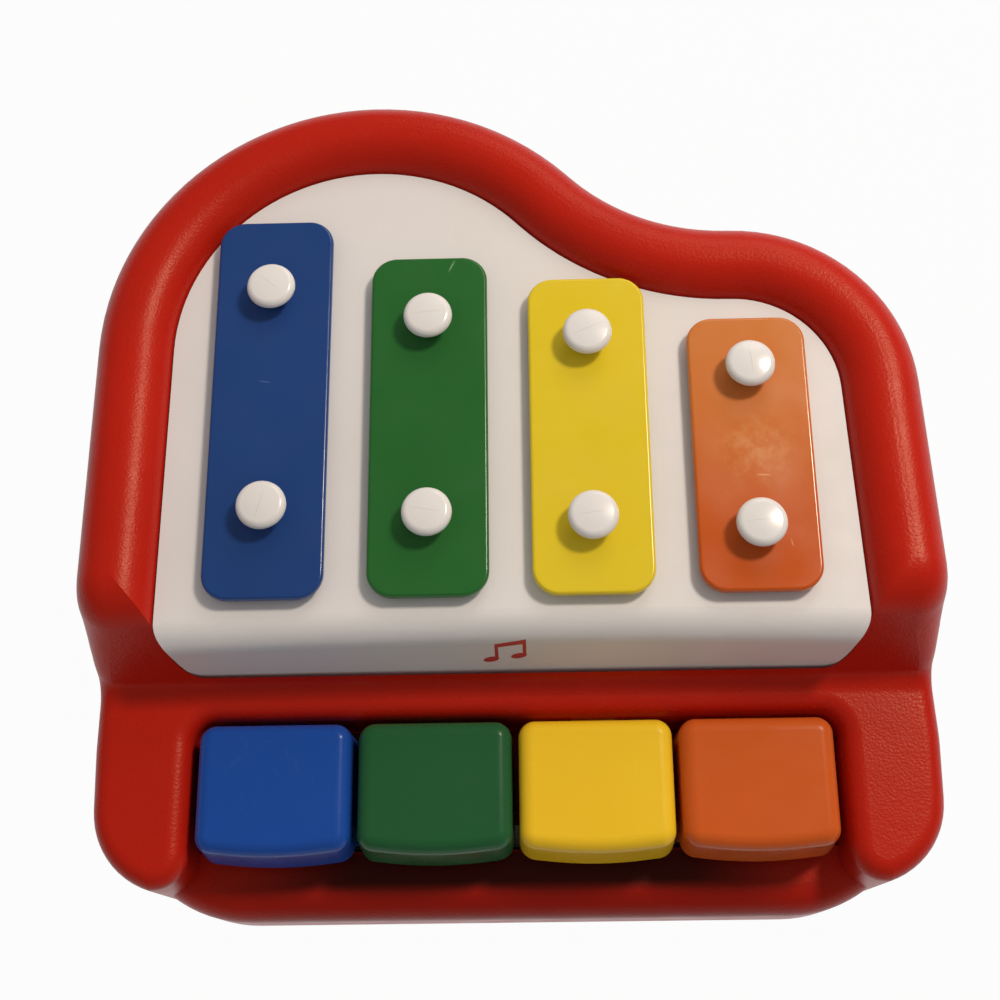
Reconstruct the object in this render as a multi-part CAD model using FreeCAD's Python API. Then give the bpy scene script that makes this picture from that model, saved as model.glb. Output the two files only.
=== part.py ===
import FreeCAD, Part
import math
import os

# A four-key toy piano: a moulded shell with a grand-piano outline, a pale deck that carries four
# struck metal bars, and keys that swing hammers up against the bars through slots in the deck.
# Millimetres, +Z up, origin under the middle of the footprint, keys towards -Y.

# Keyboard
colours = ["blue", "green", "yellow", "orange"]
key_pitch = 43.0
key_gap = 1.2
key_depth = 36.1
key_nose = 2.4
key_front_radius = 110.0
key_corner_radius = 4.8
key_edge_radius = 3.8
key_draft = 0.4
key_front_slope = 2.6
key_height = 21.0
key_front_height = 14.5
key_wall = 2.2
key_roof = 2.8
key_rib_width = 2.0
key_rib_depth = 14.0

# Shell in plan, measured from the rear edge of the keys
cheek_width = 28.3
front_taper = 1.4
flank_gap = 14.8
lip_reach = 11.7
lip_depth = 18.0
lip_margin = 1.0
lip_key_gap = 1.5
cheek_setback = 6.2
well_gap = 1.5
well_side_gap = 2.2
well_corner_radius = 6.0
nose_radius = 9.0
nose_lead = 1.0
slope_reach = 9.8
apron_reach = 11.9
bar_reach = 26.5
crown_margin = 17.9
rim_width = 20.8
crown_lean = 0.7
flank_radius = 60.0
lip_corner_radius = 38.0
cheek_corner_radius = 23.0
apron_corner_radius = 10.0

# Curves of the outline, and its fall from the crown behind each bar, as shares of the overall width
crown_radius_share = 0.3338
waist_radius_share = 0.258
shoulder_radius_share = 0.215
shoulder_drop_share = 0.1867
side_lean_share = 0.021
bar_fall_shares = {"blue": 0.0, "green": 0.0542, "yellow": 0.0866, "orange": 0.1439}
crown_end_angle = math.radians(44.4)

# Heights
foot_gap = 0.5
key_top_z = 45.0
ledge_drop = 3.0
lip_drop = 18.8
apron_rise = 25.9
rim_rise = 7.6
slope_angle = math.radians(66)

# Rounding of the shell
rim_outer_radius = 9.0
rim_inner_radius = 10.4
cheek_edge_radius = 5.0
slope_top_radius = 14.0
slope_foot_radius = 6.0
well_edge_radius = 5.2
lip_roll_radius = 8.0

# Walls of the shell
shell_wall = 3.0
roof_wall = 5.0
lip_wall = 6.0

# Deck and its seat
deck_thickness = 2.5
deck_clearance = 0.2
flange_width = 10.0
flange_thickness = 2.8
apron_groove = 1.5
apron_strip = 4.5
opening_corner_radius = 6.0
apron_lean = 2.2
apron_crown_radius = 8.0
apron_crown_bow = 3.6
flange_front_gap = 6.0

# Bars, pegs and cushions
bar_lengths = {"blue": 110.3, "green": 97.9, "yellow": 90.5, "orange": 77.4}
bar_width = 31.9
bar_thickness = 2.5
bar_corner_radius = 7.0
bar_edge_radius = 0.9
bar_hole_radius = 3.2
front_node_share = 0.2175
rear_node_share = 0.2075
cushion_height = 2.1
cushion_radius = 5.0
peg_head_radius = 6.6
peg_under_radius = 4.4
peg_head_edge = 3.4
peg_edge_radius = 1.9
peg_dome_radius = 26.0
peg_head_gap = 1.4
peg_stem_radius = 2.4
peg_tip_length = 0.8
peg_clearance = 0.05
peg_boss_radius = 4.4
peg_boss_length = 4.5

# Key levers and their shaft
shaft_radius = 2.0
shaft_clearance = 0.06
shaft_overhang = 1.5
key_pivot_reach = 10.0
key_pivot_drop = 18.0
key_hub_radius = 4.5
key_hub_length = 18.0
lever_width = 12.0
lever_root_radius = 3.0
lever_slot_gap = 1.5
nub_reach = 41.0
nub_drop = 6.05
nub_radius = 2.0

# Hammers
hammer_pivot_reach = 24.0
hammer_drop = 21.9
hammer_hub_radius = 4.5
hammer_hub_length = 18.0
hammer_arm_width = 10.0
hammer_reach = 68.0
hammer_end_radius = 2.6
hammer_stem_radius = 2.6
tip_radius = 4.0
tip_drop = 9.4
tip_cap = 2.8
tip_dome_radius = 1.8
tip_socket_depth = 3.2
tip_clearance = 0.05
slot_side_gap = 1.4
slot_front_gap = 6.4
slot_back_gap = 1.6

# Base plate
base_thickness = 4.0
base_clearance = 0.25
post_width = 4.0
post_gap = 2.5
post_head_radius = 4.6
post_foot_radius = 5.0
stop_reach = 28.0
stop_rib_width = 4.0
stop_drop = 7.9
stop_strip_height = 2.4
stop_strip_width = 6.0
stop_end_gap = 3.0

# Leaf springs under the keys
spring_thickness = 0.6
spring_width = 8.0
spring_foot_back_reach = 26.0
spring_bend_reach = 12.0
spring_bend_radius = 5.0
spring_tip_reach = 20.0
spring_tip_gap = 0.3
spring_tip_length = 3.0

# Fasteners
screw_radius = 1.4
screw_head_radius = 3.2
screw_head_height = 2.0
deck_screw_head_radius = 4.6
screw_clearance = 0.3
screw_bite = 12.0
pilot_clearance = 0.05
column_radius = 5.0
cheek_column_reach = 20.0
side_column_reach = 90.0
deck_screw_reach = 55.0
deck_boss_radius = 3.2
deck_boss_bite = 3.4
spring_screw_length = 2.5
screw_recess = 0.4
cross_length = 3.6
cross_width = 0.9
cross_depth = 1.1
pilot_roof = 1.0
overrun = 20.0
touch = 0.01

# Worked out from the sizes above
key_count = len(colours)
key_width = key_pitch - key_gap
overall_width = key_count * key_pitch + 2 * cheek_width
half_width = overall_width / 2
front_reach = key_depth + key_nose + lip_reach
longest_reach = max(bar_lengths[name] + overall_width * bar_fall_shares[name] for name in colours)
back_reach = bar_reach + longest_reach + crown_margin + rim_width
overall_depth = front_reach + back_reach
front_y = -overall_depth / 2
back_y = overall_depth / 2
key_rear_y = front_y + front_reach
lip_inner_y = front_y + lip_depth
cheek_front_y = front_y + cheek_setback
well_rear_y = key_rear_y + well_gap
well_half = key_count * key_pitch / 2 - key_gap / 2 + well_side_gap
flank_y = cheek_front_y + cheek_corner_radius + flank_gap
apron_y = key_rear_y + apron_reach
slope_foot_y = key_rear_y + slope_reach
bar_front_y = key_rear_y + bar_reach
flange_front_y = bar_front_y + flange_front_gap
crown_radius = overall_width * crown_radius_share
crown_x = crown_radius - half_width + crown_lean
ledge_z = key_top_z - ledge_drop
lip_z = ledge_z - lip_drop
deck_z = ledge_z + apron_rise
crest_z = deck_z + rim_rise
seat_z = deck_z - deck_thickness
flange_z = seat_z - flange_thickness
groove_z = ledge_z - apron_groove
bar_z = deck_z + cushion_height
key_pivot_z = key_top_z - key_pivot_drop
hammer_pivot_z = deck_z - hammer_drop
nub_z = hammer_pivot_z - nub_drop
tip_top_z = deck_z - tip_drop
hammer_stem_top_z = tip_top_z - tip_cap
stop_rib_top_z = key_top_z - key_height - stop_drop
key_pivot = (key_rear_y + key_pivot_reach, key_pivot_z)
hammer_pivot = (key_rear_y + hammer_pivot_reach, hammer_pivot_z)
hammer_y = key_rear_y + hammer_reach
post_x = (key_count - 1) / 2 * key_pitch + key_hub_length / 2 + post_gap + post_width / 2
key_x = {name: (i - (key_count - 1) / 2) * key_pitch for i, name in enumerate(colours)}

V = FreeCAD.Vector
document = FreeCAD.newDocument("piano")


def heading(a, b):
    return math.atan2(b[1] - a[1], b[0] - a[0])


def corner_turn(corners, i):
    before, here, after = corners[i - 1], corners[i], corners[(i + 1) % len(corners)]
    a = heading(before, here)
    b = heading(here, after)
    turn = (b - a + math.pi) % (2 * math.pi) - math.pi
    return a, b, turn


def rounded_wire(corners, place):
    """A closed wire through corners (u, v, radius), each rounded by a tangent arc."""
    bends = []
    for i, (u, v, radius) in enumerate(corners):
        a, b, turn = corner_turn(corners, i)
        side = math.copysign(1, turn)
        run = radius * math.tan(abs(turn) / 2)
        start = (u - run * math.cos(a), v - run * math.sin(a))
        end = (u + run * math.cos(b), v + run * math.sin(b))
        centre = (start[0] - side * radius * math.sin(a), start[1] + side * radius * math.cos(a))
        half = a + turn / 2
        middle = (centre[0] + side * radius * math.sin(half), centre[1] - side * radius * math.cos(half))
        bends.append((start, middle, end, radius))
    edges = []
    for i, (start, middle, end, radius) in enumerate(bends):
        if radius > 0:
            edges.append(Part.Arc(place(*start), place(*middle), place(*end)).toShape())
        following = bends[(i + 1) % len(bends)][0]
        edges.append(Part.LineSegment(place(*end), place(*following)).toShape())
    return Part.Wire(edges)


def inset_corners(corners, inset):
    """The same anticlockwise outline moved inwards, its arcs keeping their centres."""
    moved = []
    for i, (u, v, radius) in enumerate(corners):
        a, b, turn = corner_turn(corners, i)
        k = inset / (1 + math.cos(turn))
        inner = radius - math.copysign(inset, turn) if radius > 0 else 0
        moved.append((u - k * (math.sin(a) + math.sin(b)), v + k * (math.cos(a) + math.cos(b)), inner))
    return moved


def flat(z):
    return lambda x, y: V(x, y, z)


def upright(x):
    return lambda y, z: V(x, y, z)


def prism(corners, z0, z1):
    return Part.Face(rounded_wire(corners, flat(z0))).extrude(V(0, 0, z1 - z0))


def side_prism(corners, x0, x1):
    return Part.Face(rounded_wire(corners, upright(x0))).extrude(V(x1 - x0, 0, 0))


def block(x0, x1, y0, y1, z0, z1):
    return Part.makeBox(x1 - x0, y1 - y0, z1 - z0, V(x0, y0, z0))


def rod(radius, x, y, z0, z1):
    return Part.makeCylinder(radius, z1 - z0, V(x, y, z0))


def cross_rod(radius, x0, x1, pivot):
    return Part.makeCylinder(radius, x1 - x0, V(x0, *pivot), V(1, 0, 0))


def link(p, p_radius, q, q_radius, x, width):
    """A flat arm with a round end at each of two (y, z) points, its edges tangent to both."""
    lean = heading(p, q)
    spread = math.acos((p_radius - q_radius) / math.dist(p, q))

    def on(centre, radius, angle):
        return V(x - width / 2, centre[0] + radius * math.cos(angle), centre[1] + radius * math.sin(angle))

    p_left, p_back, p_right = [on(p, p_radius, lean + a) for a in (spread, math.pi, -spread)]
    q_right, q_front, q_left = [on(q, q_radius, lean + a) for a in (-spread, 0, spread)]
    edges = [Part.Arc(p_left, p_back, p_right).toShape(), Part.makeLine(p_right, q_right),
             Part.Arc(q_right, q_front, q_left).toShape(), Part.makeLine(q_left, p_left)]
    return Part.Face(Part.Wire(edges)).extrude(V(width, 0, 0))


def fused(*shapes):
    return shapes[0].multiFuse(list(shapes[1:])).removeSplitter()


def round_edges(shape, picks):
    """Round edges, given as (edge number, radius at its first end, radius at its last end)."""
    body = document.addObject("Part::Feature", "body")
    body.Shape = shape
    rounded = document.addObject("Part::Fillet", "rounded")
    rounded.Base = body
    rounded.Edges = picks
    document.recompute()
    return rounded.Shape


def export(name, shape):
    shape.exportStep("parts/%s.step" % name)
    print(name, len(shape.Solids), "solids", round(shape.Volume), "mm3", "valid", shape.isValid())


# Outline of the shell, anticlockwise from the front left corner
def outline(corner_x, corner_y, corner_radius):
    shoulder_y = back_y - overall_width * shoulder_drop_share
    centre = (crown_x, back_y - crown_radius)
    normal = (math.cos(crown_end_angle), math.sin(crown_end_angle))
    crown_end = (centre[0] + crown_radius * normal[0], centre[1] + crown_radius * normal[1])
    waist_x = crown_end[0] + (crown_end[1] - shoulder_y) * math.tan(crown_end_angle)
    flank = (-half_width, flank_y)
    side = heading(flank, centre) + math.asin(crown_radius / math.dist(flank, centre))
    away = (crown_end[0] - flank[0]) * normal[0] + (crown_end[1] - flank[1]) * normal[1]
    run = away / math.cos(side - crown_end_angle)
    return [(-corner_x, corner_y, corner_radius), (corner_x, corner_y, corner_radius),
            (half_width - overall_width * side_lean_share, shoulder_y, overall_width * shoulder_radius_share),
            (waist_x, shoulder_y, overall_width * waist_radius_share),
            (flank[0] + run * math.cos(side), flank[1] + run * math.sin(side), crown_radius)]


# The shell's sides are widest at the flanks, beside the keys, and taper to the cheeks' noses
def shell_outline(inset):
    corners = outline(half_width - front_taper, cheek_front_y, cheek_corner_radius)
    right, left = (half_width, flank_y, flank_radius), (-half_width, flank_y, flank_radius)
    return inset_corners(corners[:2] + [right] + corners[2:] + [left], inset)


# The low front lip, which comes out from under the cheeks' noses
def lip_outline(inset):
    side = half_width - front_taper - lip_margin
    corners = [(-side, front_y, lip_corner_radius), (side, front_y, lip_corner_radius),
               (side, well_rear_y, 0), (-side, well_rear_y, 0)]
    return inset_corners(corners, inset)


# Outline of the deck's recess, with the apron's rounded lower corners
def recess_outline(inset):
    corners = outline(half_width, apron_y - rim_width, apron_corner_radius + rim_width)
    return inset_corners(corners, rim_width + inset)


# Side view of everything under the crest, the front slope, and the ledge
def side_profile(roof, wall):
    crest = crest_z - roof
    ledge = ledge_z - wall
    back_shift = wall / math.sin(slope_angle) - wall / math.tan(slope_angle)
    foot = slope_foot_y + back_shift
    top = foot + (crest - ledge) / math.tan(slope_angle)
    return side_prism([(front_y - overrun, -overrun, 0), (back_y + overrun, -overrun, 0),
                       (back_y + overrun, crest, 0), (top, crest, slope_top_radius),
                       (foot, ledge, slope_foot_radius), (front_y - overrun, ledge, 0)],
                      -overall_width, overall_width)


def shell_block(inset, z0, roof, wall):
    return prism(shell_outline(inset), z0, crest_z + overrun).common(side_profile(roof, wall))


def outer_edge_picks(shape):
    """Edges all round the top: full rounding on the rim, easing to the cheeks down the front slope."""
    picks = []
    for number, edge in enumerate(shape.Edges, 1):
        b = edge.BoundBox
        across_slope = b.XLength > half_width and b.YLength < touch and b.YMax > cheek_front_y + touch
        if b.ZMin < ledge_z - touch or across_slope:
            continue
        upper, lower = rim_outer_radius, cheek_edge_radius
        if b.ZMin > ledge_z + touch and b.ZMax < crest_z - touch:
            downhill = edge.Vertexes[0].Z > edge.Vertexes[-1].Z
            picks.append((number, upper, lower) if downhill else (number, lower, upper))
        elif b.ZMax > crest_z - touch:
            picks.append((number, upper, upper))
        else:
            picks.append((number, lower, lower))
    return picks


def flare(edges, radius, z):
    """A quarter-round cutter swept along an anticlockwise path: it rounds an opening's edge at height z."""
    start = edges[0].valueAt(edges[0].FirstParameter)
    along = edges[0].tangentAt(edges[0].FirstParameter)
    diagonal = radius * math.sqrt(2) / 2

    def at(out, up):
        return V(start.x + along.y * out, start.y - along.x * out, z + up)

    points = [at(radius, 0), at(radius, overrun), at(-touch, overrun), at(-touch, -radius), at(0, -radius)]
    rounding = Part.Arc(at(0, -radius), at(radius - diagonal, diagonal - radius), at(radius, 0)).toShape()
    sides = [Part.makeLine(a, b) for a, b in zip(points, points[1:])]
    return Part.Wire(edges).makePipeShell([Part.Wire([rounding] + sides)], True, False)


def well_outline():
    """The keyboard's opening, spreading round the cheeks' noses to an open front."""
    far = half_width + overrun
    nose_y = cheek_front_y + nose_lead
    return [(-far, front_y - overrun, 0), (far, front_y - overrun, 0), (far, nose_y, 0),
            (well_half, nose_y, nose_radius), (well_half, well_rear_y, well_corner_radius),
            (-well_half, well_rear_y, well_corner_radius), (-well_half, nose_y, nose_radius),
            (-far, nose_y, 0)]


def screw_columns():
    rim_middle = rim_width / 2
    side_y = key_rear_y + side_column_reach
    cheek_y = key_rear_y - cheek_column_reach
    cheek_x = half_width - cheek_width / 2 + shell_wall / 2
    lean = overall_width * side_lean_share
    return [(-cheek_x, cheek_y), (cheek_x, cheek_y), (rim_middle - half_width, side_y),
            (half_width - lean - rim_middle, side_y), (crown_x, back_y - rim_middle)]


def deck_screw_places():
    inset = rim_width + flange_width / 2
    lean = overall_width * side_lean_share / 2
    side_y = key_rear_y + deck_screw_reach
    return [(inset - half_width, side_y), (half_width - lean - inset, side_y), (crown_x, back_y - inset)]


def front_lip():
    """The tray in front of the keys, its edge rolled, with a shelf that runs in under their noses."""
    tray = prism(lip_outline(0), foot_gap, lip_z)
    rim = [e for e in tray.Edges if e.BoundBox.ZMin > lip_z - touch]
    tray = tray.makeFillet(lip_roll_radius, [e for e in rim if e.BoundBox.YMin < well_rear_y - touch])
    return tray.cut(block(-well_half, well_half, lip_inner_y, well_rear_y + overrun, -overrun, crest_z))


def lever_slots():
    slots = []
    for x in key_x.values():
        half = lever_width / 2 + lever_slot_gap
        top = key_pivot_z + key_hub_radius + lever_slot_gap
        slots.append(block(x - half, x + half, well_rear_y - touch, well_rear_y + shell_wall + touch,
                           lip_z - lip_wall - touch, top))
    return slots


def shell_cavity():
    cavity = fused(shell_block(shell_wall, -overrun, roof_wall, shell_wall),
                   prism(lip_outline(shell_wall), -overrun, lip_z - lip_wall))
    well_walls = block(-well_half - shell_wall, well_half + shell_wall, front_y - overrun,
                       well_rear_y + shell_wall, lip_z - lip_wall, crest_z)
    deck_walls = prism(recess_outline(-shell_wall), flange_z, crest_z)
    apron_zone = block(-half_width, half_width, apron_y - overrun, flange_front_y,
                       ledge_z - shell_wall, crest_z)
    apron_walls = prism(recess_outline(-shell_wall), ledge_z - shell_wall, crest_z).common(apron_zone)
    columns = [rod(column_radius, x, y, base_thickness, crest_z) for x, y in screw_columns()]
    return cavity.cut([well_walls, deck_walls, apron_walls] + columns)


def deck_opening():
    """The hole under the deck, inside its seat: level with the flange behind, with the strip in front."""
    margin = rim_width + flange_width
    corners = outline(half_width, apron_y + apron_strip - margin, opening_corner_radius + margin)
    return prism(inset_corners(corners, margin), -overrun, crest_z + overrun)


def make_housing():
    solid = shell_block(0, foot_gap, 0, 0)
    solid = round_edges(solid, outer_edge_picks(solid))
    apron_zone = block(-half_width, half_width, apron_y - overrun, flange_front_y,
                       groove_z, crest_z + overrun)
    recess = [prism(recess_outline(0), seat_z, crest_z + overrun),
              prism(recess_outline(0), groove_z, crest_z + overrun).common(apron_zone)]
    rim_edges = rounded_wire(recess_outline(0), flat(crest_z)).Edges
    rim_path = rim_edges[2:] + rim_edges[:1]
    well_path = rounded_wire(well_outline(), flat(ledge_z)).Edges[2:-1]
    solid = solid.cut(recess + [flare(rim_path, rim_inner_radius, crest_z),
                                prism(well_outline(), -overrun, crest_z),
                                flare(well_path, well_edge_radius, ledge_z)])
    solid = fused(solid, front_lip())
    solid = solid.cut([shell_cavity(), deck_opening()] + lever_slots())
    pilot = screw_radius + pilot_clearance
    pilots = [rod(pilot, x, y, base_thickness - touch, base_thickness + screw_bite)
              for x, y in screw_columns()]
    sockets = [rod(deck_boss_radius + screw_clearance, x, y, flange_z - touch, seat_z + touch)
               for x, y in deck_screw_places()]
    return solid.cut(pilots + sockets)


def deck_section(x, bow):
    """One upright slice of the deck: flat top, rounded crown, and the apron down to its groove."""
    foot = apron_y + deck_clearance
    crown = foot + apron_lean + bow
    inner_foot = foot + deck_thickness
    inner_crown = crown + deck_thickness
    corners = [(back_y, seat_z, 0), (back_y, deck_z, 0), (crown, deck_z, apron_crown_radius),
               (foot, ledge_z, 0), (foot, groove_z, 0), (inner_foot, groove_z, 0), (inner_foot, ledge_z, 0),
               (inner_crown, seat_z, apron_crown_radius - deck_thickness)]
    return rounded_wire(corners, upright(x))


def make_deck():
    skin = Part.makeLoft([deck_section(-half_width, 0), deck_section(0, apron_crown_bow),
                          deck_section(half_width, 0)], True, False)
    deck = skin.common(prism(recess_outline(deck_clearance), -overrun, crest_z))
    bosses = [rod(peg_boss_radius, x, y, seat_z - peg_boss_length, seat_z) for x, y in peg_places()]
    bosses += [rod(deck_boss_radius, x, y, flange_z, seat_z) for x, y in deck_screw_places()]
    stems = [rod(peg_stem_radius + peg_clearance, x, y, flange_z - overrun, crest_z) for x, y in peg_places()]
    pilots = [rod(screw_radius + pilot_clearance, x, y, flange_z - touch, deck_z - pilot_roof)
              for x, y in deck_screw_places()]
    return fused(deck, *bosses).cut(hammer_slots() + stems + pilots)


def hammer_slots():
    slots = []
    for x in key_x.values():
        half = tip_radius + slot_side_gap
        corners = [(x - half, hammer_y - tip_radius - slot_front_gap, half / 2),
                   (x + half, hammer_y - tip_radius - slot_front_gap, half / 2),
                   (x + half, hammer_y + tip_radius + slot_back_gap, half / 2),
                   (x - half, hammer_y + tip_radius + slot_back_gap, half / 2)]
        slots.append(prism(corners, seat_z - touch, deck_z + touch))
    return slots


def peg_places(names=colours):
    places = []
    for name in names:
        length = bar_lengths[name]
        places += [(key_x[name], bar_front_y + length * front_node_share),
                   (key_x[name], bar_front_y + length * (1 - rear_node_share))]
    return places


def make_bar(name):
    left = key_x[name] - bar_width / 2
    right = key_x[name] + bar_width / 2
    end = bar_front_y + bar_lengths[name]
    places = [(left, bar_front_y), (right, bar_front_y), (right, end), (left, end)]
    corners = [(x, y, bar_corner_radius) for x, y in places]
    bar = prism(corners, bar_z, bar_z + bar_thickness)
    rims = [edge for edge in bar.Edges if edge.BoundBox.ZLength < touch]
    bar = bar.makeFillet(bar_edge_radius, rims)
    return bar.cut([rod(bar_hole_radius, x, y, bar_z - touch, bar_z + bar_thickness + touch)
                    for x, y in peg_places([name])])


def turned(profile, x, y):
    """A solid turned about the upright axis through (x, y) from (radius, z) points."""
    points = [V(x + r, y, z) for r, z in profile]
    wire = Part.makePolygon(points + points[:1])
    return Part.Face(wire).revolve(V(x, y, 0), V(0, 0, 1), math.degrees(2 * math.pi))


def make_peg(x, y):
    under = bar_z + bar_thickness + peg_head_gap
    edge = under + peg_head_edge
    foot = seat_z - peg_boss_length - peg_tip_length
    rim = peg_head_radius - peg_edge_radius
    lean = math.asin(rim / (peg_dome_radius - peg_edge_radius))
    dome_z = edge - (peg_dome_radius - peg_edge_radius) * math.cos(lean)

    def on(out, up, radius, angle):
        return V(x + out + radius * math.sin(angle), y, up + radius * math.cos(angle))

    outer, shoulder, meeting = [on(rim, edge, peg_edge_radius, a)
                                for a in (math.pi / 2, (math.pi / 2 + lean) / 2, lean)]
    slope, top = [on(0, dome_z, peg_dome_radius, a) for a in (lean / 2, 0)]
    arcs = [Part.Arc(outer, shoulder, meeting).toShape(), Part.Arc(meeting, slope, top).toShape()]
    points = [top, V(x, y, foot), V(x + peg_stem_radius, y, foot), V(x + peg_stem_radius, y, under),
              V(x + peg_under_radius, y, under), outer]
    sides = [Part.makeLine(a, b) for a, b in zip(points, points[1:])]
    return Part.Face(Part.Wire(arcs + sides)).revolve(V(x, y, 0), V(0, 0, 1), math.degrees(2 * math.pi))


def make_cushion(x, y):
    ring = rod(cushion_radius, x, y, deck_z, bar_z)
    return ring.cut(rod(peg_stem_radius + peg_clearance, x, y, deck_z, bar_z))


def key_outline(x, inset, setback):
    half = key_width / 2
    front = key_rear_y - key_depth + setback
    corners = [(x - half, front, key_corner_radius), (x, front - key_nose, key_front_radius),
               (x + half, front, key_corner_radius), (x + half, key_rear_y, key_corner_radius),
               (x - half, key_rear_y, key_corner_radius)]
    return inset_corners(corners, inset)


def make_key(name):
    x = key_x[name]
    base_z = key_top_z - key_height
    foot = rounded_wire(key_outline(x, 0, 0), flat(base_z))
    top = rounded_wire(key_outline(x, key_draft, key_front_slope), flat(key_top_z))
    cap = Part.makeLoft([foot, top], True, True)
    cap = cap.makeFillet(key_edge_radius, [e for e in cap.Edges if e.BoundBox.ZMin > key_top_z - touch])
    roof_z = key_top_z - key_roof
    mouth = rounded_wire(key_outline(x, key_wall, 0), flat(base_z - touch))
    ceiling = rounded_wire(key_outline(x, key_wall + key_draft, key_front_slope), flat(roof_z))
    hollow = Part.makeLoft([mouth, ceiling], True, True)
    rib = block(x - key_rib_width / 2, x + key_rib_width / 2, key_rear_y - key_depth + key_wall,
                key_rear_y - key_wall, roof_z - key_rib_depth, roof_z)
    root = (key_rear_y - key_wall / 2, key_pivot_z)
    nub = (key_rear_y + nub_reach, nub_z)
    lever = link(key_pivot, key_hub_radius, root, lever_root_radius, x, lever_width)
    lever = lever.common(block(x - key_pitch, x + key_pitch, root[0], back_y, 0, crest_z))
    tail = link(key_pivot, key_hub_radius, nub, nub_radius, x, lever_width)
    hub = cross_rod(key_hub_radius, x - key_hub_length / 2, x + key_hub_length / 2, key_pivot)
    bore = cross_rod(shaft_radius + shaft_clearance, x - key_hub_length, x + key_hub_length, key_pivot)
    over_lip = block(x - key_pitch, x + key_pitch, front_y, lip_inner_y + lip_key_gap, 0,
                     key_top_z - key_front_height)
    return fused(cap.cut(hollow), rib, lever, tail, hub).cut([bore, over_lip])


def make_hammer(name):
    x = key_x[name]
    end = (hammer_y, hammer_pivot_z)
    arm = link(hammer_pivot, hammer_hub_radius, end, hammer_end_radius, x, hammer_arm_width)
    hub = cross_rod(hammer_hub_radius, x - hammer_hub_length / 2, x + hammer_hub_length / 2, hammer_pivot)
    stem = rod(hammer_stem_radius, x, hammer_y, hammer_pivot_z, hammer_stem_top_z)
    bore = cross_rod(shaft_radius + shaft_clearance, x - hammer_hub_length, x + hammer_hub_length,
                     hammer_pivot)
    return fused(arm, hub, stem).cut(bore)


def make_tip(name):
    x = key_x[name]
    base_z = hammer_stem_top_z - tip_socket_depth
    tip = rod(tip_radius, x, hammer_y, base_z, tip_top_z)
    tip = tip.makeFillet(tip_dome_radius, [e for e in tip.Edges if e.BoundBox.ZMin > tip_top_z - touch])
    return tip.cut(rod(hammer_stem_radius + tip_clearance, x, hammer_y, base_z - touch, hammer_stem_top_z))


def make_shaft(pivot):
    end = post_x + post_width / 2 + shaft_overhang
    return cross_rod(shaft_radius, -end, end, pivot)


def spring_line():
    """The leaf's bend and tip in side view: flat on the base, then up to the rib inside the key."""
    bend = (key_rear_y + spring_bend_reach, base_thickness)
    rib_z = key_top_z - key_roof - key_rib_depth
    tip = (key_rear_y - spring_tip_reach, rib_z - spring_tip_gap - spring_thickness)
    return bend, tip


def make_spring(name):
    x = key_x[name]
    bend, tip = spring_line()
    back = key_rear_y + spring_foot_back_reach
    lean = heading(bend, tip)
    lift = spring_thickness / math.tan(lean / 2)
    rise = spring_thickness / math.sin(lean)
    corners = [(back, bend[1], 0), (back, bend[1] + spring_thickness, 0),
               (bend[0] - lift, bend[1] + spring_thickness, spring_bend_radius),
               (tip[0], tip[1] + spring_thickness, spring_bend_radius - spring_thickness),
               (tip[0] - spring_tip_length, tip[1] + spring_thickness, 0),
               (tip[0] - spring_tip_length, tip[1], 0), (tip[0] - rise, tip[1], spring_bend_radius),
               (bend[0], bend[1], spring_bend_radius + spring_thickness)]
    leaf = side_prism(corners, x - spring_width / 2, x + spring_width / 2)
    return leaf.cut(rod(screw_radius + screw_clearance, x, spring_screw_y(), 0, lip_z))


def spring_screw_y():
    return key_rear_y + (spring_foot_back_reach + spring_bend_reach + spring_bend_radius) / 2


def cross_recess(x, y, z0, z1):
    """The driver's cross in a screw head."""
    reach = cross_length / 2
    half = cross_width / 2
    return [block(x - reach, x + reach, y - half, y + half, z0, z1),
            block(x - half, x + half, y - reach, y + reach, z0, z1)]


def make_screw(x, y, head_radius, head_z, length):
    """A pan-head screw driven upwards, its head's top under the clamped piece at head_z."""
    foot_z = head_z - screw_head_height
    tip_z = head_z + length
    screw = turned([(0, foot_z), (head_radius, foot_z), (head_radius, head_z), (screw_radius, head_z),
                    (screw_radius, tip_z), (0, tip_z)], x, y)
    return screw.cut(cross_recess(x, y, foot_z - touch, foot_z + cross_depth))


def make_spring_screw(x):
    y = spring_screw_y()
    seat = base_thickness + spring_thickness
    tip_z = seat - spring_screw_length
    top_z = seat + screw_head_height
    screw = turned([(0, top_z), (0, tip_z), (screw_radius, tip_z), (screw_radius, seat),
                    (screw_head_radius, seat), (screw_head_radius, top_z)], x, y)
    return screw.cut(cross_recess(x, y, top_z - cross_depth, top_z + touch))


def bearing_post(x, pivot):
    foot = (pivot[0], base_thickness)
    post = link(foot, post_foot_radius, pivot, post_head_radius, x, post_width)
    return post.common(block(x - key_pitch, x + key_pitch, front_y, back_y, base_thickness - touch, crest_z))


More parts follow.
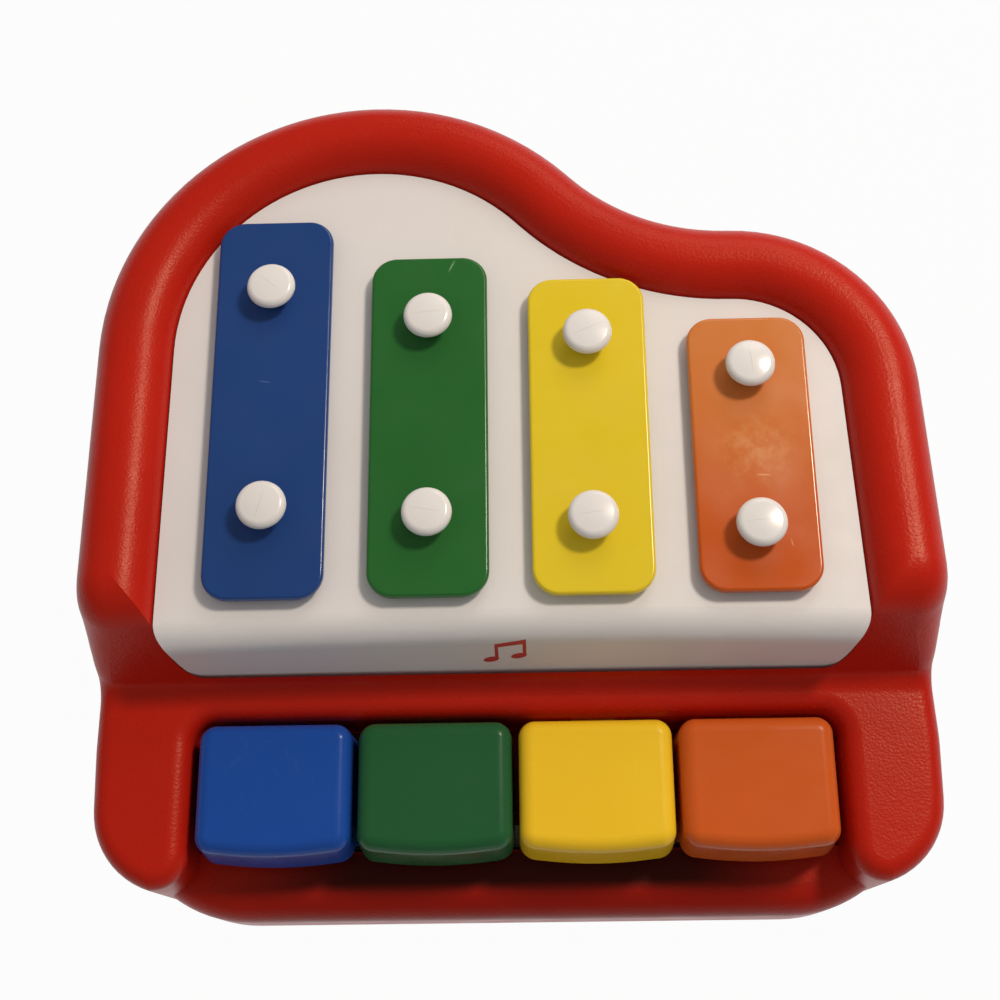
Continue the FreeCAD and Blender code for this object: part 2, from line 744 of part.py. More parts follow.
def make_base():
    inset = shell_wall + base_clearance
    plate = fused(prism(shell_outline(inset), 0, base_thickness),
                  prism(lip_outline(inset), 0, base_thickness))
    stop_y = key_rear_y - stop_reach
    rib_half = well_half - stop_end_gap
    rib = block(-rib_half, rib_half, stop_y - stop_rib_width / 2, stop_y + stop_rib_width / 2,
                base_thickness - touch, stop_rib_top_z)
    pivots = (key_pivot, hammer_pivot)
    posts = [bearing_post(x, pivot) for x in (-post_x, 0, post_x) for pivot in pivots]
    bores = [cross_rod(shaft_radius + touch, -half_width, half_width, pivot) for pivot in pivots]
    holes = []
    for x, y in screw_columns():
        holes.append(rod(screw_radius + screw_clearance, x, y, -touch, base_thickness + touch))
        holes.append(rod(screw_head_radius + screw_clearance, x, y, -touch, screw_head_height + screw_recess))
    holes += [rod(screw_radius + pilot_clearance, x, spring_screw_y(), base_thickness - spring_screw_length,
                  base_thickness + touch) for x in key_x.values()]
    return fused(plate, rib, *posts).cut(bores + holes)


def make_stop_strip():
    stop_y = key_rear_y - stop_reach
    half = well_half - stop_end_gap
    return block(-half, half, stop_y - stop_strip_width / 2, stop_y + stop_strip_width / 2,
                 stop_rib_top_z, stop_rib_top_z + stop_strip_height)


def main():
    os.makedirs("parts", exist_ok=True)
    export("housing", make_housing())
    export("base_plate", make_base())
    export("deck", make_deck())
    for name in colours:
        export("tone_bar_" + name, make_bar(name))
        export("key_" + name, make_key(name))
        export("hammer_" + name, make_hammer(name))
        export("hammer_tip_" + name, make_tip(name))
        export("key_spring_" + name, make_spring(name))
    export("bar_pegs", Part.makeCompound([make_peg(x, y) for x, y in peg_places()]))
    export("bar_cushions", Part.makeCompound([make_cushion(x, y) for x, y in peg_places()]))
    export("key_shaft", make_shaft(key_pivot))
    export("hammer_shaft", make_shaft(hammer_pivot))
    export("key_stop_strip", make_stop_strip())
    head_z = screw_head_height + screw_recess
    length = base_thickness + screw_bite - screw_recess - head_z
    export("base_screws", Part.makeCompound([make_screw(x, y, screw_head_radius, head_z, length)
                                             for x, y in screw_columns()]))
    deck_head = deck_screw_head_radius
    export("deck_screws", Part.makeCompound([make_screw(x, y, deck_head, flange_z, deck_boss_bite)
                                             for x, y in deck_screw_places()]))
    export("spring_screws", Part.makeCompound([make_spring_screw(x) for x in key_x.values()]))


if __name__ == "__main__":
    main()
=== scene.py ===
import bmesh
import bpy
import math
from mathutils import Matrix, Vector


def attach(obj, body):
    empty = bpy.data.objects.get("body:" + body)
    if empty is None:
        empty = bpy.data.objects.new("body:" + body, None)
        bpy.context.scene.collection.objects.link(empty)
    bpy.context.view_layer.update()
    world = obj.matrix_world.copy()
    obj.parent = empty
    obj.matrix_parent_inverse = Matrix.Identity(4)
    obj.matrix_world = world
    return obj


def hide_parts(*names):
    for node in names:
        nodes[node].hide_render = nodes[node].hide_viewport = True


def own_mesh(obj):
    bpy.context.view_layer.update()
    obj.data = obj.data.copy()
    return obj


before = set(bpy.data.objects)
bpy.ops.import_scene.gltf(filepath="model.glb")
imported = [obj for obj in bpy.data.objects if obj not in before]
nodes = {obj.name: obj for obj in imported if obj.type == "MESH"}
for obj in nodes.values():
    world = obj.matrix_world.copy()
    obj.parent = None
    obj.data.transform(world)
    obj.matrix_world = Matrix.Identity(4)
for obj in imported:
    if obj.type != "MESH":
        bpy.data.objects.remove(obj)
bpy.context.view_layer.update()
colours = ["blue", "green", "yellow", "orange"]
print("frame loaded:", len(nodes), "nodes")

floatKind, vectorKind, colourKind = "NodeSocketFloat", "NodeSocketVector", "NodeSocketColor"
origin = (0.0, 0.0, 0.0)
maskOut = [("Mask", floatKind)]


def newGroup(name, inputs, outputs):
    group = bpy.data.node_groups.new(name, "ShaderNodeTree")
    for label, kind, value in inputs:
        socket = group.interface.new_socket(label, in_out="INPUT", socket_type=kind)
        socket.default_value = value
    for label, kind in outputs:
        group.interface.new_socket(label, in_out="OUTPUT", socket_type=kind)
    return group, group.nodes.new("NodeGroupInput"), group.nodes.new("NodeGroupOutput")


def findSocket(node, key):  # "i2" is a socket's place in the list, "From_Min" is its name
    if key[0] == "i" and key[1:].isdigit():
        return node.inputs[int(key[1:])]
    return node.inputs[key.replace("_", " ")]


def addNode(tree, kind, settings=None, **sockets):
    node = tree.nodes.new(kind)
    for key, value in (settings or {}).items():
        setattr(node, key, value)
    for key, value in sockets.items():
        socket = findSocket(node, key)
        if isinstance(value, bpy.types.NodeSocket):
            tree.links.new(value, socket)
        else:
            socket.default_value = value
    return node


def maths(tree, operation, a, b=0.0):
    return addNode(tree, "ShaderNodeMath", {"operation": operation}, i0=a, i1=b).outputs["Value"]


def times(tree, first, *others):
    for other in others:
        first = maths(tree, "MULTIPLY", first, other)
    return first


def largest(tree, first, *others):
    for other in others:
        first = maths(tree, "MAXIMUM", first, other)
    return first


def ramp(tree, value, low, high):  # eases from 0 to 1
    node = addNode(tree, "ShaderNodeMapRange", {"interpolation_type": "SMOOTHSTEP"},
                   Value=value, From_Min=low, From_Max=high)
    return node.outputs["Result"]


def fall(tree, value, low, high):  # eases from 1 to 0
    return maths(tree, "SUBTRACT", 1.0, ramp(tree, value, low, high))


def blendColour(tree, amount, a, b):  # sockets 6 and 7 of a Mix node are its two colours
    node = addNode(tree, "ShaderNodeMix", {"data_type": "RGBA"}, Factor=amount, i6=a, i7=b)
    return node.outputs[2]


def vectorMaths(tree, operation, **sockets):
    return addNode(tree, "ShaderNodeVectorMath", {"operation": operation}, **sockets).outputs


def splitAxes(tree, vector):
    return addNode(tree, "ShaderNodeSeparateXYZ", Vector=vector).outputs


def objectSpot(tree):
    return addNode(tree, "ShaderNodeTexCoord").outputs["Object"]


def offsetFrom(tree, centre):
    return vectorMaths(tree, "SUBTRACT", i0=objectSpot(tree), i1=centre)["Vector"]


def within(tree, value, half, core=0.6):  # 1 in the core of a half-width, easing to 0 at its end
    away = maths(tree, "DIVIDE", maths(tree, "ABSOLUTE", value), half)
    return fall(tree, away, core, 1.0)


def softBall(tree, offset, radius, core=0.1):
    away = vectorMaths(tree, "LENGTH", i0=offset)["Value"]
    return fall(tree, maths(tree, "DIVIDE", away, radius), core, 1.0)


grainShape = {"pebbleDetail": 2.0, "pebbleRough": 0.45, "pebbleHeight": 0.55,
              "waveScale": 0.09, "waveDetail": 1.0, "waveHeight": 0.5}


def buildGrain(look):  # pebbled skin that the mould leaves on the plastic
    group, given, out = newGroup("mouldGrain", [("Scale", floatKind, 900.0)],
                                 [("Height", floatKind), ("Sheen", floatKind)])
    spot, scale = objectSpot(group), given.outputs["Scale"]
    pebble = addNode(group, "ShaderNodeTexNoise", Vector=spot, Scale=scale,
                     Detail=look["pebbleDetail"], Roughness=look["pebbleRough"]).outputs["Fac"]
    wave = addNode(group, "ShaderNodeTexNoise", Vector=spot, Scale=times(group, scale, look["waveScale"]),
                   Detail=look["waveDetail"]).outputs["Fac"]
    height = maths(group, "ADD", times(group, pebble, look["pebbleHeight"]),
                   times(group, wave, look["waveHeight"]))
    group.links.new(height, out.inputs["Height"])
    group.links.new(maths(group, "SUBTRACT", wave, 0.5), out.inputs["Sheen"])
    return group


scuffShape = {"strokes": ((0.5, 18.0), (-1.1, 14.0), (2.2, 22.0)),  # turn and stretch of the hairlines
              "flatten": 4.0, "hairScale": 8.0, "hairDetail": 1.5, "hairWidth": (0.0006, 0.004),
              "patchDetail": 3.0, "patchEdge": (0.52, 0.74)}


def buildScuffs(look):  # hairline scratches, gathered in handled patches
    group, given, out = newGroup("handlingScuffs", [("Scale", floatKind, 60.0),
                                                    ("Amount", floatKind, 0.5)], maskOut)
    spot, scale = objectSpot(group), given.outputs["Scale"]
    lines = []
    for turn, stretch in look["strokes"]:
        swung = addNode(group, "ShaderNodeMapping", {"vector_type": "TEXTURE"}, Vector=spot,
                        Rotation=(0.0, 0.0, turn), Scale=(stretch, 1.0, look["flatten"]))
        hair = addNode(group, "ShaderNodeTexNoise", Vector=swung.outputs["Vector"],
                       Scale=times(group, scale, look["hairScale"]), Detail=look["hairDetail"])
        thin = maths(group, "ABSOLUTE", maths(group, "SUBTRACT", hair.outputs["Fac"], 0.5))
        lines.append(fall(group, thin, *look["hairWidth"]))
    patch = addNode(group, "ShaderNodeTexNoise", Vector=spot, Scale=scale, Detail=look["patchDetail"])
    gathered = ramp(group, patch.outputs["Fac"], *look["patchEdge"])
    mask = times(group, largest(group, *lines), gathered, given.outputs["Amount"])
    group.links.new(mask, out.inputs["Mask"])
    return group


speckShape = {"dotEdge": (0.03, 0.07)}


def buildSpecks(look):  # pale nicks and dust, one here and there
    group, given, out = newGroup("paleSpecks", [("Scale", floatKind, 90.0),
                                                ("Share", floatKind, 0.2)], maskOut)
    cells = addNode(group, "ShaderNodeTexVoronoi", Vector=objectSpot(group),
                    Scale=given.outputs["Scale"]).outputs
    dot = fall(group, cells["Distance"], *look["dotEdge"])
    pick = addNode(group, "ShaderNodeSeparateColor", Color=cells["Color"]).outputs["Red"]
    chosen = maths(group, "LESS_THAN", pick, given.outputs["Share"])
    group.links.new(times(group, dot, chosen), out.inputs["Mask"])
    return group


toneShape = {"detail": 4.0, "rough": 0.6, "edge": (0.3, 0.75)}


def buildTone(look):  # slow drift of the colour across a piece
    group, given, out = newGroup("toneDrift", [("Colour", colourKind, (0.5, 0.5, 0.5, 1.0)),
                                               ("Drift", colourKind, (0.4, 0.4, 0.4, 1.0)),
                                               ("Scale", floatKind, 14.0)], [("Colour", colourKind)])
    cloud = addNode(group, "ShaderNodeTexNoise", Vector=objectSpot(group), Scale=given.outputs["Scale"],
                    Detail=look["detail"], Roughness=look["rough"]).outputs["Fac"]
    mixed = blendColour(group, ramp(group, cloud, *look["edge"]),
                        given.outputs["Colour"], given.outputs["Drift"])
    group.links.new(mixed, out.inputs["Colour"])
    return group


scratchShape = {"core": 0.2}


def buildScratch(look):  # one straight scratch in the XY plane
    group, given, out = newGroup("singleScratch", [("Centre", vectorKind, origin), ("Turn", floatKind, 0.0),
                                                   ("Length", floatKind, 0.01),
                                                   ("Width", floatKind, 0.0003)], maskOut)
    turned = addNode(group, "ShaderNodeVectorRotate", {"rotation_type": "Z_AXIS"},
                     Vector=offsetFrom(group, given.outputs["Centre"]),
                     Angle=times(group, given.outputs["Turn"], -1.0))
    axes = splitAxes(group, turned.outputs["Vector"])
    along = within(group, axes["X"], times(group, given.outputs["Length"], 0.5), look["core"])
    across = within(group, axes["Y"], times(group, given.outputs["Width"], 0.5), look["core"])
    group.links.new(times(group, along, across), out.inputs["Mask"])
    return group


rubShape = {"scale": 210.0, "detail": 6.0, "rough": 0.65, "edge": (0.36, 0.7)}


def buildRub(look):  # cloudy patch where the paint is rubbed
    group, given, out = newGroup("rubbedPatch", [("Centre", vectorKind, origin),
                                                 ("Radius", floatKind, 0.01)], maskOut)
    offset = offsetFrom(group, given.outputs["Centre"])
    cloud = addNode(group, "ShaderNodeTexNoise", Vector=offset, Scale=look["scale"], Detail=look["detail"],
                    Roughness=look["rough"]).outputs["Fac"]
    soft = softBall(group, offset, given.outputs["Radius"])
    group.links.new(times(group, soft, ramp(group, cloud, *look["edge"])), out.inputs["Mask"])
    return group


def buildPaintedSheen():  # broad patch of painted sheen: a lighter colour standing in for a lamp's reflection
    group, given, out = newGroup("paintedSheenPatch", [("Centre", vectorKind, origin),
                                                ("Radius", floatKind, 0.05)], maskOut)
    offset = offsetFrom(group, given.outputs["Centre"])
    group.links.new(softBall(group, offset, given.outputs["Radius"]), out.inputs["Mask"])
    return group


def buildShade():  # soft-edged box of painted shade: the colour is darkened inside it where shade falls
    group, given, out = newGroup("paintedShadeBox", [("Centre", vectorKind, origin),
                                               ("Half", vectorKind, (0.01, 0.01, 0.01)),
                                               ("Core", floatKind, 0.7)], maskOut)
    offset = offsetFrom(group, given.outputs["Centre"])
    axes = splitAxes(group, vectorMaths(group, "DIVIDE", i0=offset, i1=given.outputs["Half"])["Vector"])
    sides = [within(group, axes[axis], 1.0, given.outputs["Core"]) for axis in "XYZ"]
    group.links.new(times(group, *sides), out.inputs["Mask"])
    return group


noteShape = {"lean": 0.25, "depth": 1.5,  # in note sizes, as are the rest
             "beamRise": 0.42, "beamHalf": 0.13, "beamCore": 0.85,
             "spanMiddle": 0.02, "spanHalf": 0.48, "spanCore": 0.95,
             "stems": (-0.4, 0.44), "stemHalf": 0.06, "stemCore": 0.8,
             "stemRise": 0.05, "stemReach": 0.5, "reachCore": 0.95,
             "headBack": 0.17, "headDrop": 0.42, "headWide": 0.25, "headTall": 0.18, "headCore": 0.85}


def buildNotes(look):  # pair of beamed notes printed on the apron, in the XZ plane
    group, given, out = newGroup("printedNotes", [("Centre", vectorKind, origin),
                                                  ("Size", floatKind, 0.01)], maskOut)
    offset = offsetFrom(group, given.outputs["Centre"])
    axes = splitAxes(group, vectorMaths(group, "DIVIDE", i0=offset, i1=given.outputs["Size"])["Vector"])
    tilted = maths(group, "SUBTRACT", axes["Z"], times(group, axes["X"], look["lean"]))

    def band(value, middle, half, core):
        return within(group, maths(group, "SUBTRACT", value, middle), half, core)

    mask = times(group, band(tilted, look["beamRise"], look["beamHalf"], look["beamCore"]),
                 band(axes["X"], look["spanMiddle"], look["spanHalf"], look["spanCore"]))
    for x in look["stems"]:
        stem = times(group, band(axes["X"], x, look["stemHalf"], look["stemCore"]),
                     band(tilted, look["stemRise"], look["stemReach"], look["reachCore"]))
        across = maths(group, "SUBTRACT", axes["X"], x - look["headBack"])
        across = maths(group, "DIVIDE", across, look["headWide"])
        upward = maths(group, "DIVIDE", maths(group, "ADD", tilted, look["headDrop"]), look["headTall"])
        ring = maths(group, "ADD", times(group, across, across), times(group, upward, upward))
        mask = largest(group, mask, stem, within(group, ring, 1.0, look["headCore"]))
    group.links.new(times(group, mask, within(group, axes["Y"], look["depth"])), out.inputs["Mask"])
    return group


groups = {"grain": buildGrain(grainShape), "scuffs": buildScuffs(scuffShape),
          "specks": buildSpecks(speckShape), "tone": buildTone(toneShape),
          "scratch": buildScratch(scratchShape), "rub": buildRub(rubShape), "paintedSheen": buildPaintedSheen(),
          "shade": buildShade(), "notes": buildNotes(noteShape)}
print("shared finishes built:", len(groups))


def place(tree, name, **sockets):
    return addNode(tree, "ShaderNodeGroup", {"node_tree": groups[name]}, **sockets).outputs


def rgb(colour):
    return (*colour, 1.0)


def newMaterial(name):
    material = bpy.data.materials.new(name)
    material.use_nodes = True
    return material, material.node_tree, material.node_tree.nodes["Principled BSDF"]


def placeTone(tree, look):
    return place(tree, "tone", Colour=rgb(look["colour"]), Drift=rgb(look["drift"]),
                 Scale=look["driftScale"])["Colour"]


def raiseSurface(tree, shader, height, look):
    bump = addNode(tree, "ShaderNodeBump", Strength=look["grainStrength"],
                   Distance=look["grainDepth"], Height=height)
    tree.links.new(bump.outputs["Normal"], shader.inputs["Normal"])


def plasticFinish(name, look):
    material, tree, shader = newMaterial(name)
    colour = placeTone(tree, look)
    grain = place(tree, "grain", Scale=look["grainScale"])
    scuffs = place(tree, "scuffs", Scale=look["scuffScale"], Amount=look["scuffs"])["Mask"]
    specks = place(tree, "specks", Scale=look["speckScale"], Share=look["specks"])["Mask"]
    colour = blendColour(tree, scuffs, colour, rgb(look["wornColour"]))
    colour = blendColour(tree, times(tree, specks, look["speckStrength"]), colour, rgb(look["speckColour"]))
    for mark in look["marks"]:
        mask = place(tree, mark["kind"], **mark["shape"])["Mask"]
        colour = blendColour(tree, times(tree, mask, mark["strength"]), colour, rgb(mark["colour"]))
    tree.links.new(colour, shader.inputs["Base Color"])
    rough = maths(tree, "ADD", times(tree, grain["Sheen"], look["roughDrift"]), look["rough"])
    rough = maths(tree, "ADD", rough, times(tree, scuffs, look["scuffRough"]))
    tree.links.new(rough, shader.inputs["Roughness"])
    height = maths(tree, "SUBTRACT", grain["Height"], times(tree, scuffs, look["scuffDepth"]))
    raiseSurface(tree, shader, height, look)
    shader.inputs["Specular IOR Level"].default_value = look["shine"]
    shader.inputs["Specular Tint"].default_value = rgb(look["shineTint"])
    return material


def steelFinish(name, look):
    material, tree, shader = newMaterial(name)
    tree.links.new(placeTone(tree, look), shader.inputs["Base Color"])
    scuffs = place(tree, "scuffs", Scale=look["scuffScale"], Amount=look["scuffs"])["Mask"]
    rough = maths(tree, "ADD", times(tree, scuffs, look["scuffRough"]), look["rough"])
    tree.links.new(rough, shader.inputs["Roughness"])
    raiseSurface(tree, shader, scuffs, look)
    shader.inputs["Metallic"].default_value = 1.0
    return material


def feltFinish(name, look):
    material, tree, shader = newMaterial(name)
    tree.links.new(placeTone(tree, look), shader.inputs["Base Color"])
    raiseSurface(tree, shader, place(tree, "grain", Scale=look["grainScale"])["Height"], look)
    shader.inputs["Roughness"].default_value = look["rough"]
    shader.inputs["Sheen Weight"].default_value = look["sheen"]
    return material


def barEnds(name):  # x of a bar's middle line, and y of its two ends
    corners = [Vector(corner) for corner in nodes["tone_bar_" + name].bound_box]
    middle = (min(c.x for c in corners) + max(c.x for c in corners)) / 2
    return middle, min(c.y for c in corners), max(c.y for c in corners)


def onBar(name, across, along):  # a place on a bar, from the middle of its front edge
    middle, front, _ = barEnds(name)
    return middle + across, front + along


def scratch(spot, turn, length, width, strength, colour):  # turn in degrees
    shape = {"Centre": (*spot, 0.0), "Turn": math.radians(turn), "Length": length, "Width": width}
    return {"kind": "scratch", "shape": shape, "strength": strength, "colour": colour}


plain = {"driftScale": 14.0, "grainScale": 900.0, "grainStrength": 0.35, "grainDepth": 0.00012,
         "rough": 0.4, "roughDrift": 0.25, "shine": 0.5, "shineTint": (1.0, 1.0, 1.0),
         "scuffScale": 22.0, "scuffs": 0.06, "scuffRough": 0.2, "scuffDepth": 0.3,
         "wornColour": (0.7, 0.62, 0.56), "speckColour": (0.85, 0.8, 0.76),
         "speckScale": 70.0, "specks": 0.05, "speckStrength": 0.7, "marks": []}

# painted shade: the lip's forward-sloping front is darkened in colour, as it faces away from the lamp
lipShade = {"kind": "shade", "strength": 0.55, "colour": (0.16, 0.004, 0.003),
            "shape": {"Centre": (0.0, -0.1095, 0.019), "Half": (0.104, 0.0075, 0.007), "Core": 0.55}}
# painted shadow: a near-black band on the shelf under the keys' fronts stands in for the deep shade in that
# gap
keyGapShade = {"kind": "shade", "strength": 0.9, "colour": (0.012, 0.002, 0.002),
               "shape": {"Centre": (0.0, -0.0995, 0.0225), "Half": (0.087, 0.0068, 0.006), "Core": 0.5}}
shellLook = dict(plain, colour=(0.50, 0.0135, 0.005), drift=(0.45, 0.012, 0.0045),
                 rough=0.35, roughDrift=0.12, shine=0.22, shineTint=(1.0, 0.8, 0.62),
                 grainScale=1400.0, grainStrength=0.9, grainDepth=0.0002,
                 wornColour=(0.62, 0.12, 0.09), scuffs=0.04, marks=[lipShade, keyGapShade])

apronNotes = {"kind": "notes", "strength": 0.95, "colour": (0.5, 0.012, 0.007),
              "shape": {"Centre": (-0.0008, -0.047, 0.0575), "Size": 0.0088}}
deckLook = dict(plain, colour=(0.76, 0.765, 0.795), drift=(0.72, 0.72, 0.74), rough=0.5,
                grainScale=1300.0, grainStrength=0.25, wornColour=(0.62, 0.57, 0.52), scuffs=0.2,
                speckColour=(0.45, 0.42, 0.4), specks=0.01, marks=[apronNotes])

partingLine = {"length": 0.0105, "width": 0.0004, "strength": 0.3, "colour": (0.5, 0.46, 0.43)}
pegShares = (0.2175, 0.7925)  # where the two pegs stand along a bar
pegTurns = {"blue": (74, 140), "green": (170, 5), "yellow": (8, 24), "orange": (4, 95)}  # front, rear


def pegLines():  # parting line over each peg
    lines = []
    for name, turns in pegTurns.items():
        middle, front, rear = barEnds(name)
        for share, turn in zip(pegShares, turns):
            lines.append(scratch((middle, front + (rear - front) * share), turn, **partingLine))
    return lines


pegLook = dict(plain, colour=(0.81, 0.82, 0.845), drift=(0.77, 0.775, 0.795), rough=0.22, grainStrength=0.12,
               wornColour=(0.6, 0.56, 0.52), scuffs=0.3, marks=pegLines())

barTop = 0.0725
# painted sheen: a broad lighter golden patch towards the orange bar's rear end stands in for the lamp's
# reflection there
orangePaintedSheen = {"kind": "paintedSheen", "strength": 0.95, "colour": (0.62, 0.205, 0.045),
              "shape": {"Centre": (*onBar("orange", 0.0, 0.075), barTop), "Radius": 0.07}}
orangeRub = {"kind": "rub", "strength": 0.5, "colour": (0.72, 0.38, 0.17),
             "shape": {"Centre": (*onBar("orange", 0.001, 0.0393), barTop), "Radius": 0.015}}
blueNick = scratch(onBar("blue", -0.0015, 0.0611), -8, 0.0042, 0.0005, 0.3, (0.2, 0.32, 0.55))
greenNick = scratch(onBar("green", 0.0062, 0.095), 64, 0.0048, 0.0007, 0.5, (0.36, 0.55, 0.36))
orangeNicks = [scratch(onBar("orange", 0.0022, 0.0315), -4, 0.0048, 0.0007, 0.5, (0.85, 0.5, 0.24)),
               scratch(onBar("orange", 0.0082, 0.0127), -77, 0.003, 0.0005, 0.35, (0.85, 0.6, 0.4))]
enamel = dict(plain, rough=0.22, shine=0.45, grainStrength=0.12, scuffs=0.03)
barLooks = {
    "blue": dict(enamel, colour=(0.014, 0.057, 0.234), drift=(0.012, 0.051, 0.21), marks=[blueNick]),
    "green": dict(enamel, colour=(0.02, 0.143, 0.028), drift=(0.017, 0.128, 0.025), marks=[greenNick]),
    "yellow": dict(enamel, colour=(0.77, 0.6, 0.021), drift=(0.73, 0.565, 0.019)),
    "orange": dict(enamel, colour=(0.56, 0.095, 0.008), drift=(0.52, 0.085, 0.007),
                   marks=[orangePaintedSheen, orangeRub, *orangeNicks])}

gloss = dict(plain, rough=0.27, shine=0.18, grainStrength=0.08, scuffs=0.012)
keyLooks = {
    "blue": dict(gloss, colour=(0.0125, 0.078, 0.41), drift=(0.0115, 0.072, 0.38)),
    "green": dict(gloss, colour=(0.019, 0.115, 0.041), drift=(0.017, 0.105, 0.037)),
    "yellow": dict(gloss, colour=(0.90, 0.60, 0.024), drift=(0.87, 0.56, 0.022)),
    "orange": dict(gloss, colour=(0.64, 0.118, 0.018), drift=(0.59, 0.105, 0.016))}

innerLook = dict(plain, colour=(0.72, 0.7, 0.64), drift=(0.68, 0.65, 0.58), rough=0.5)
steelLook = {"colour": (0.62, 0.62, 0.63), "drift": (0.55, 0.55, 0.56), "driftScale": 60.0, "rough": 0.3,
             "scuffScale": 120.0, "scuffs": 0.5, "scuffRough": 0.3,
             "grainStrength": 0.2, "grainDepth": 0.00003}
springLook = dict(steelLook, colour=(0.5, 0.49, 0.47), drift=(0.42, 0.41, 0.4), rough=0.38)
feltLook = {"colour": (0.32, 0.31, 0.3), "drift": (0.24, 0.235, 0.23), "driftScale": 90.0, "rough": 0.95,
            "sheen": 0.3, "grainScale": 2400.0, "grainStrength": 0.8, "grainDepth": 0.0003}


def paint(name, material):
    mesh = nodes[name].data
    mesh.materials.clear()
    mesh.materials.append(material)


noseRib = {"axis": (0.0966, -0.09665), "radius": 0.009, "edge": 0.0052, "thick": 0.0006, "under": 0.00002,
           "foot": 0.0225, "shoulder": 0.0368, "top": 0.0394, "levels": 8,
           "from": -150.0, "to": -110.0, "turns": 24}  # degrees, and the steps between them


def ribRing(look):  # radius and height round one slice of the rib, up its outside and down its inside
    climb, levels = look["top"] - look["shoulder"], look["levels"]
    heights = [look["foot"]] + [look["shoulder"] + climb * i / levels for i in range(levels + 1)]
    outside = []
    for z in heights:
        rise = max(0.0, z - look["shoulder"])
        rounded = look["edge"] - math.sqrt(look["edge"] ** 2 - rise ** 2)
        outside.append((look["radius"] - rounded - look["under"], z))
    return outside + [(radius - look["thick"], z) for radius, z in reversed(outside)]


def buildNoseRib(side, look, material):  # closes a thin corner in a cheek's nose, just under the skin
    ring = ribRing(look)
    axisX, axisY = look["axis"]
    points = []
    for i in range(look["turns"] + 1):
        angle = math.radians(look["from"] + (look["to"] - look["from"]) * i / look["turns"])
        points += [(side * (axisX + radius * math.cos(angle)), axisY + radius * math.sin(angle), z)
                   for radius, z in ring]
    count = len(ring)
    last = look["turns"] * count
    faces = [tuple(range(count)), tuple(range(last, last + count))]
    for start in range(0, last, count):
        for j in range(count):
            k = (j + 1) % count
            faces.append((start + j, start + k, start + count + k, start + count + j))
    mesh = bpy.data.meshes.new("noseRib")
    mesh.from_pydata(points, [], faces)
    work = bmesh.new()
    work.from_mesh(mesh)
    bmesh.ops.recalc_face_normals(work, faces=work.faces)
    work.to_mesh(mesh)
    work.free()
    mesh.materials.append(material)
    rib = bpy.data.objects.new("noseRibLeft" if side < 0 else "noseRibRight", mesh)
    bpy.context.scene.collection.objects.link(rib)
    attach(rib, "case")


def fitSpring(name):  # a leaf that is pressed down under its key, in its node's finish
    node = nodes["key_spring_" + name]
    leaf = bpy.data.objects.new(name + "KeySpring", node.data.copy())
    bpy.context.scene.collection.objects.link(leaf)
    bpy.context.view_layer.update()
    leaf.matrix_world = node.matrix_world.copy()
    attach(leaf, "case")
    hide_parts("key_spring_" + name)
    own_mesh(leaf)


def dressNodes():
    shell = plasticFinish("shellRed", shellLook)
    for side in (-1, 1):
        buildNoseRib(side, noseRib, shell)
    for name in ("housing", "base_plate"):
        paint(name, shell)
    paint("deck", plasticFinish("deckWhite", deckLook))
    paint("bar_pegs", plasticFinish("pegWhite", pegLook))
    steel = steelFinish("drawnSteel", steelLook)
    for name in ("key_shaft", "hammer_shaft", "base_screws", "deck_screws", "spring_screws"):
        paint(name, steel)
    felt = feltFinish("greyFelt", feltLook)
    for name in ("bar_cushions", "key_stop_strip"):
        paint(name, felt)
    spring = steelFinish("springSteel", springLook)
    inner = plasticFinish("actionNylon", innerLook)
    for name in colours:
        paint("tone_bar_" + name, plasticFinish(name + "BarEnamel", barLooks[name]))
        paint("key_" + name, plasticFinish(name + "KeyGloss", keyLooks[name]))
        paint("key_spring_" + name, spring)
        fitSpring(name)
        paint("hammer_" + name, inner)
        paint("hammer_tip_" + name, inner)


dressNodes()
print("finishes on the nodes")

viewPoint = {"eye": (0.0058502, -0.1362901, 0.4293802), "azimuth": 0.0668, "elevation": 1.2308,
             "roll": -0.0819, "focal": 1.44526, "sensor": 36.0, "near": 0.01}  # radians, and frame widths


def placeCamera(look):
    data = bpy.data.cameras.new("photoCamera")
    camera = bpy.data.objects.new("photoCamera", data)
    bpy.context.scene.collection.objects.link(camera)
    az, el, roll = look["azimuth"], look["elevation"], look["roll"]
    back = Vector((math.sin(az) * math.cos(el), -math.cos(az) * math.cos(el), math.sin(el)))
    right = Vector((math.cos(az), math.sin(az), 0.0))
    up = back.cross(right)
    across = right * math.cos(roll) + up * math.sin(roll)
    upward = up * math.cos(roll) - right * math.sin(roll)
    turn = Matrix((across, upward, back)).transposed().to_4x4()
    camera.matrix_world = Matrix.Translation(Vector(look["eye"])) @ turn
    data.sensor_width = look["sensor"]
    data.lens = look["focal"] * look["sensor"]
    data.clip_start = look["near"]
    bpy.context.scene.camera = camera


def seenRay(tree):  # 1 where the camera, a reflection or a see-through piece looks at the backdrop
    path = addNode(tree, "ShaderNodeLightPath").outputs
    return largest(tree, path["Is Glossy Ray"], path["Is Transmission Ray"], path["Is Camera Ray"])


floorLook = {"size": 6.0, "colour": (0.3, 0.3, 0.3), "rough": 0.9, "shine": 0.1, "lift": 0.97}


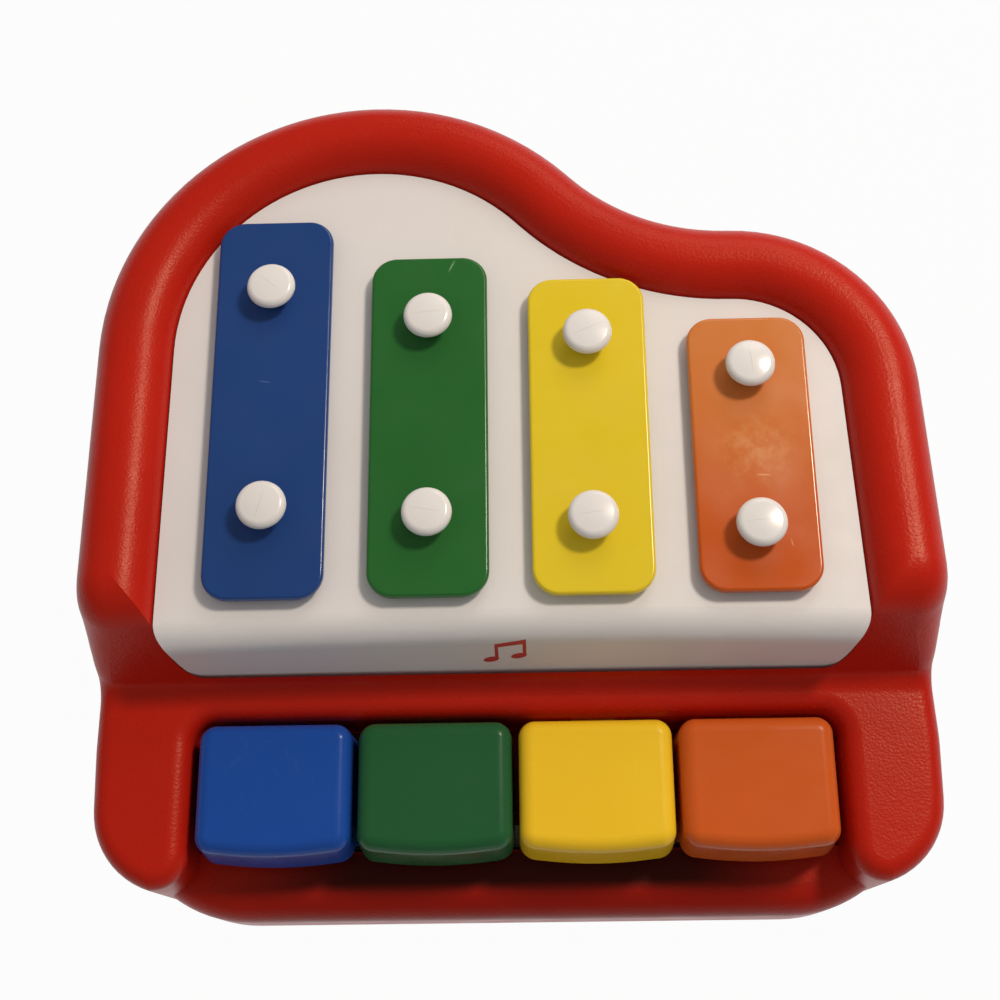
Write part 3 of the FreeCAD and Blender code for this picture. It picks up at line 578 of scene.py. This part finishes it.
def buildFloor(look):
    half = look["size"] / 2
    mesh = bpy.data.meshes.new("floor")
    corners = [(-half, -half, 0), (half, -half, 0), (half, half, 0), (-half, half, 0)]
    mesh.from_pydata(corners, [], [(0, 1, 2, 3)])
    floor = bpy.data.objects.new("floor", mesh)
    bpy.context.scene.collection.objects.link(floor)
    material, tree, shader = newMaterial("paleFloor")
    shader.inputs["Base Color"].default_value = rgb(look["colour"])
    shader.inputs["Roughness"].default_value = look["rough"]
    shader.inputs["Specular IOR Level"].default_value = look["shine"]
    white = addNode(tree, "ShaderNodeEmission", Strength=1.0)
    lift = times(tree, seenRay(tree), look["lift"])
    mix = addNode(tree, "ShaderNodeMixShader", Fac=lift, i1=shader.outputs["BSDF"],
                  i2=white.outputs["Emission"])
    tree.links.new(mix.outputs["Shader"], tree.nodes["Material Output"].inputs["Surface"])
    mesh.materials.append(material)


worldLook = {"ambient": 0.37, "ambientColour": (1.0, 0.93, 0.86), "seenColour": (1.0, 1.0, 1.0),
             "horizon": 1.0, "zenith": 0.12, "rise": (0.0, 0.25)}  # what reflections see, and where it dims


def buildWorld(look):
    world = bpy.data.worlds.new("studioWorld")
    bpy.context.scene.world = world
    world.use_nodes = True
    tree = world.node_tree
    background = tree.nodes["Background"]
    direction = addNode(tree, "ShaderNodeTexCoord").outputs["Generated"]
    climb = ramp(tree, splitAxes(tree, direction)["Z"], *look["rise"])
    dimming = times(tree, climb, look["zenith"] - look["horizon"])
    backdrop = maths(tree, "ADD", dimming, look["horizon"])
    seen = seenRay(tree)
    change = times(tree, maths(tree, "SUBTRACT", backdrop, look["ambient"]), seen)
    level = maths(tree, "ADD", change, look["ambient"])
    camera = addNode(tree, "ShaderNodeLightPath").outputs["Is Camera Ray"]
    tree.links.new(largest(tree, level, camera), background.inputs["Strength"])  # white to the camera
    tint = blendColour(tree, seen, rgb(look["ambientColour"]), rgb(look["seenColour"]))
    tree.links.new(tint, background.inputs["Color"])


aimHeight = 0.05
lamps = [{"name": "softLamp", "from": (0.57, 0.39, 1.0), "distance": 1.1, "size": 0.2,
          "power": 6.9, "colour": (1.0, 0.85, 0.7)},
         {"name": "backGlow", "from": (0.25, 0.76, 0.6), "distance": 0.9, "size": 0.45,
          "power": 1.4, "colour": (1.0, 0.88, 0.76)}]


def hangLamp(look):
    data = bpy.data.lights.new(look["name"], "AREA")
    data.shape = "DISK"
    data.size = look["size"]
    data.energy = look["power"]
    data.color = look["colour"]
    lamp = bpy.data.objects.new(look["name"], data)
    bpy.context.scene.collection.objects.link(lamp)
    aim = Vector(look["from"]).normalized()
    lamp.location = aim * look["distance"] + Vector((0.0, 0.0, aimHeight))
    lamp.rotation_euler = aim.to_track_quat("Z", "Y").to_euler()


placeCamera(viewPoint)
buildFloor(floorLook)
buildWorld(worldLook)
for lampLook in lamps:
    hangLamp(lampLook)
bpy.context.scene.view_settings.view_transform = "Standard"
print("camera, floor and light set")
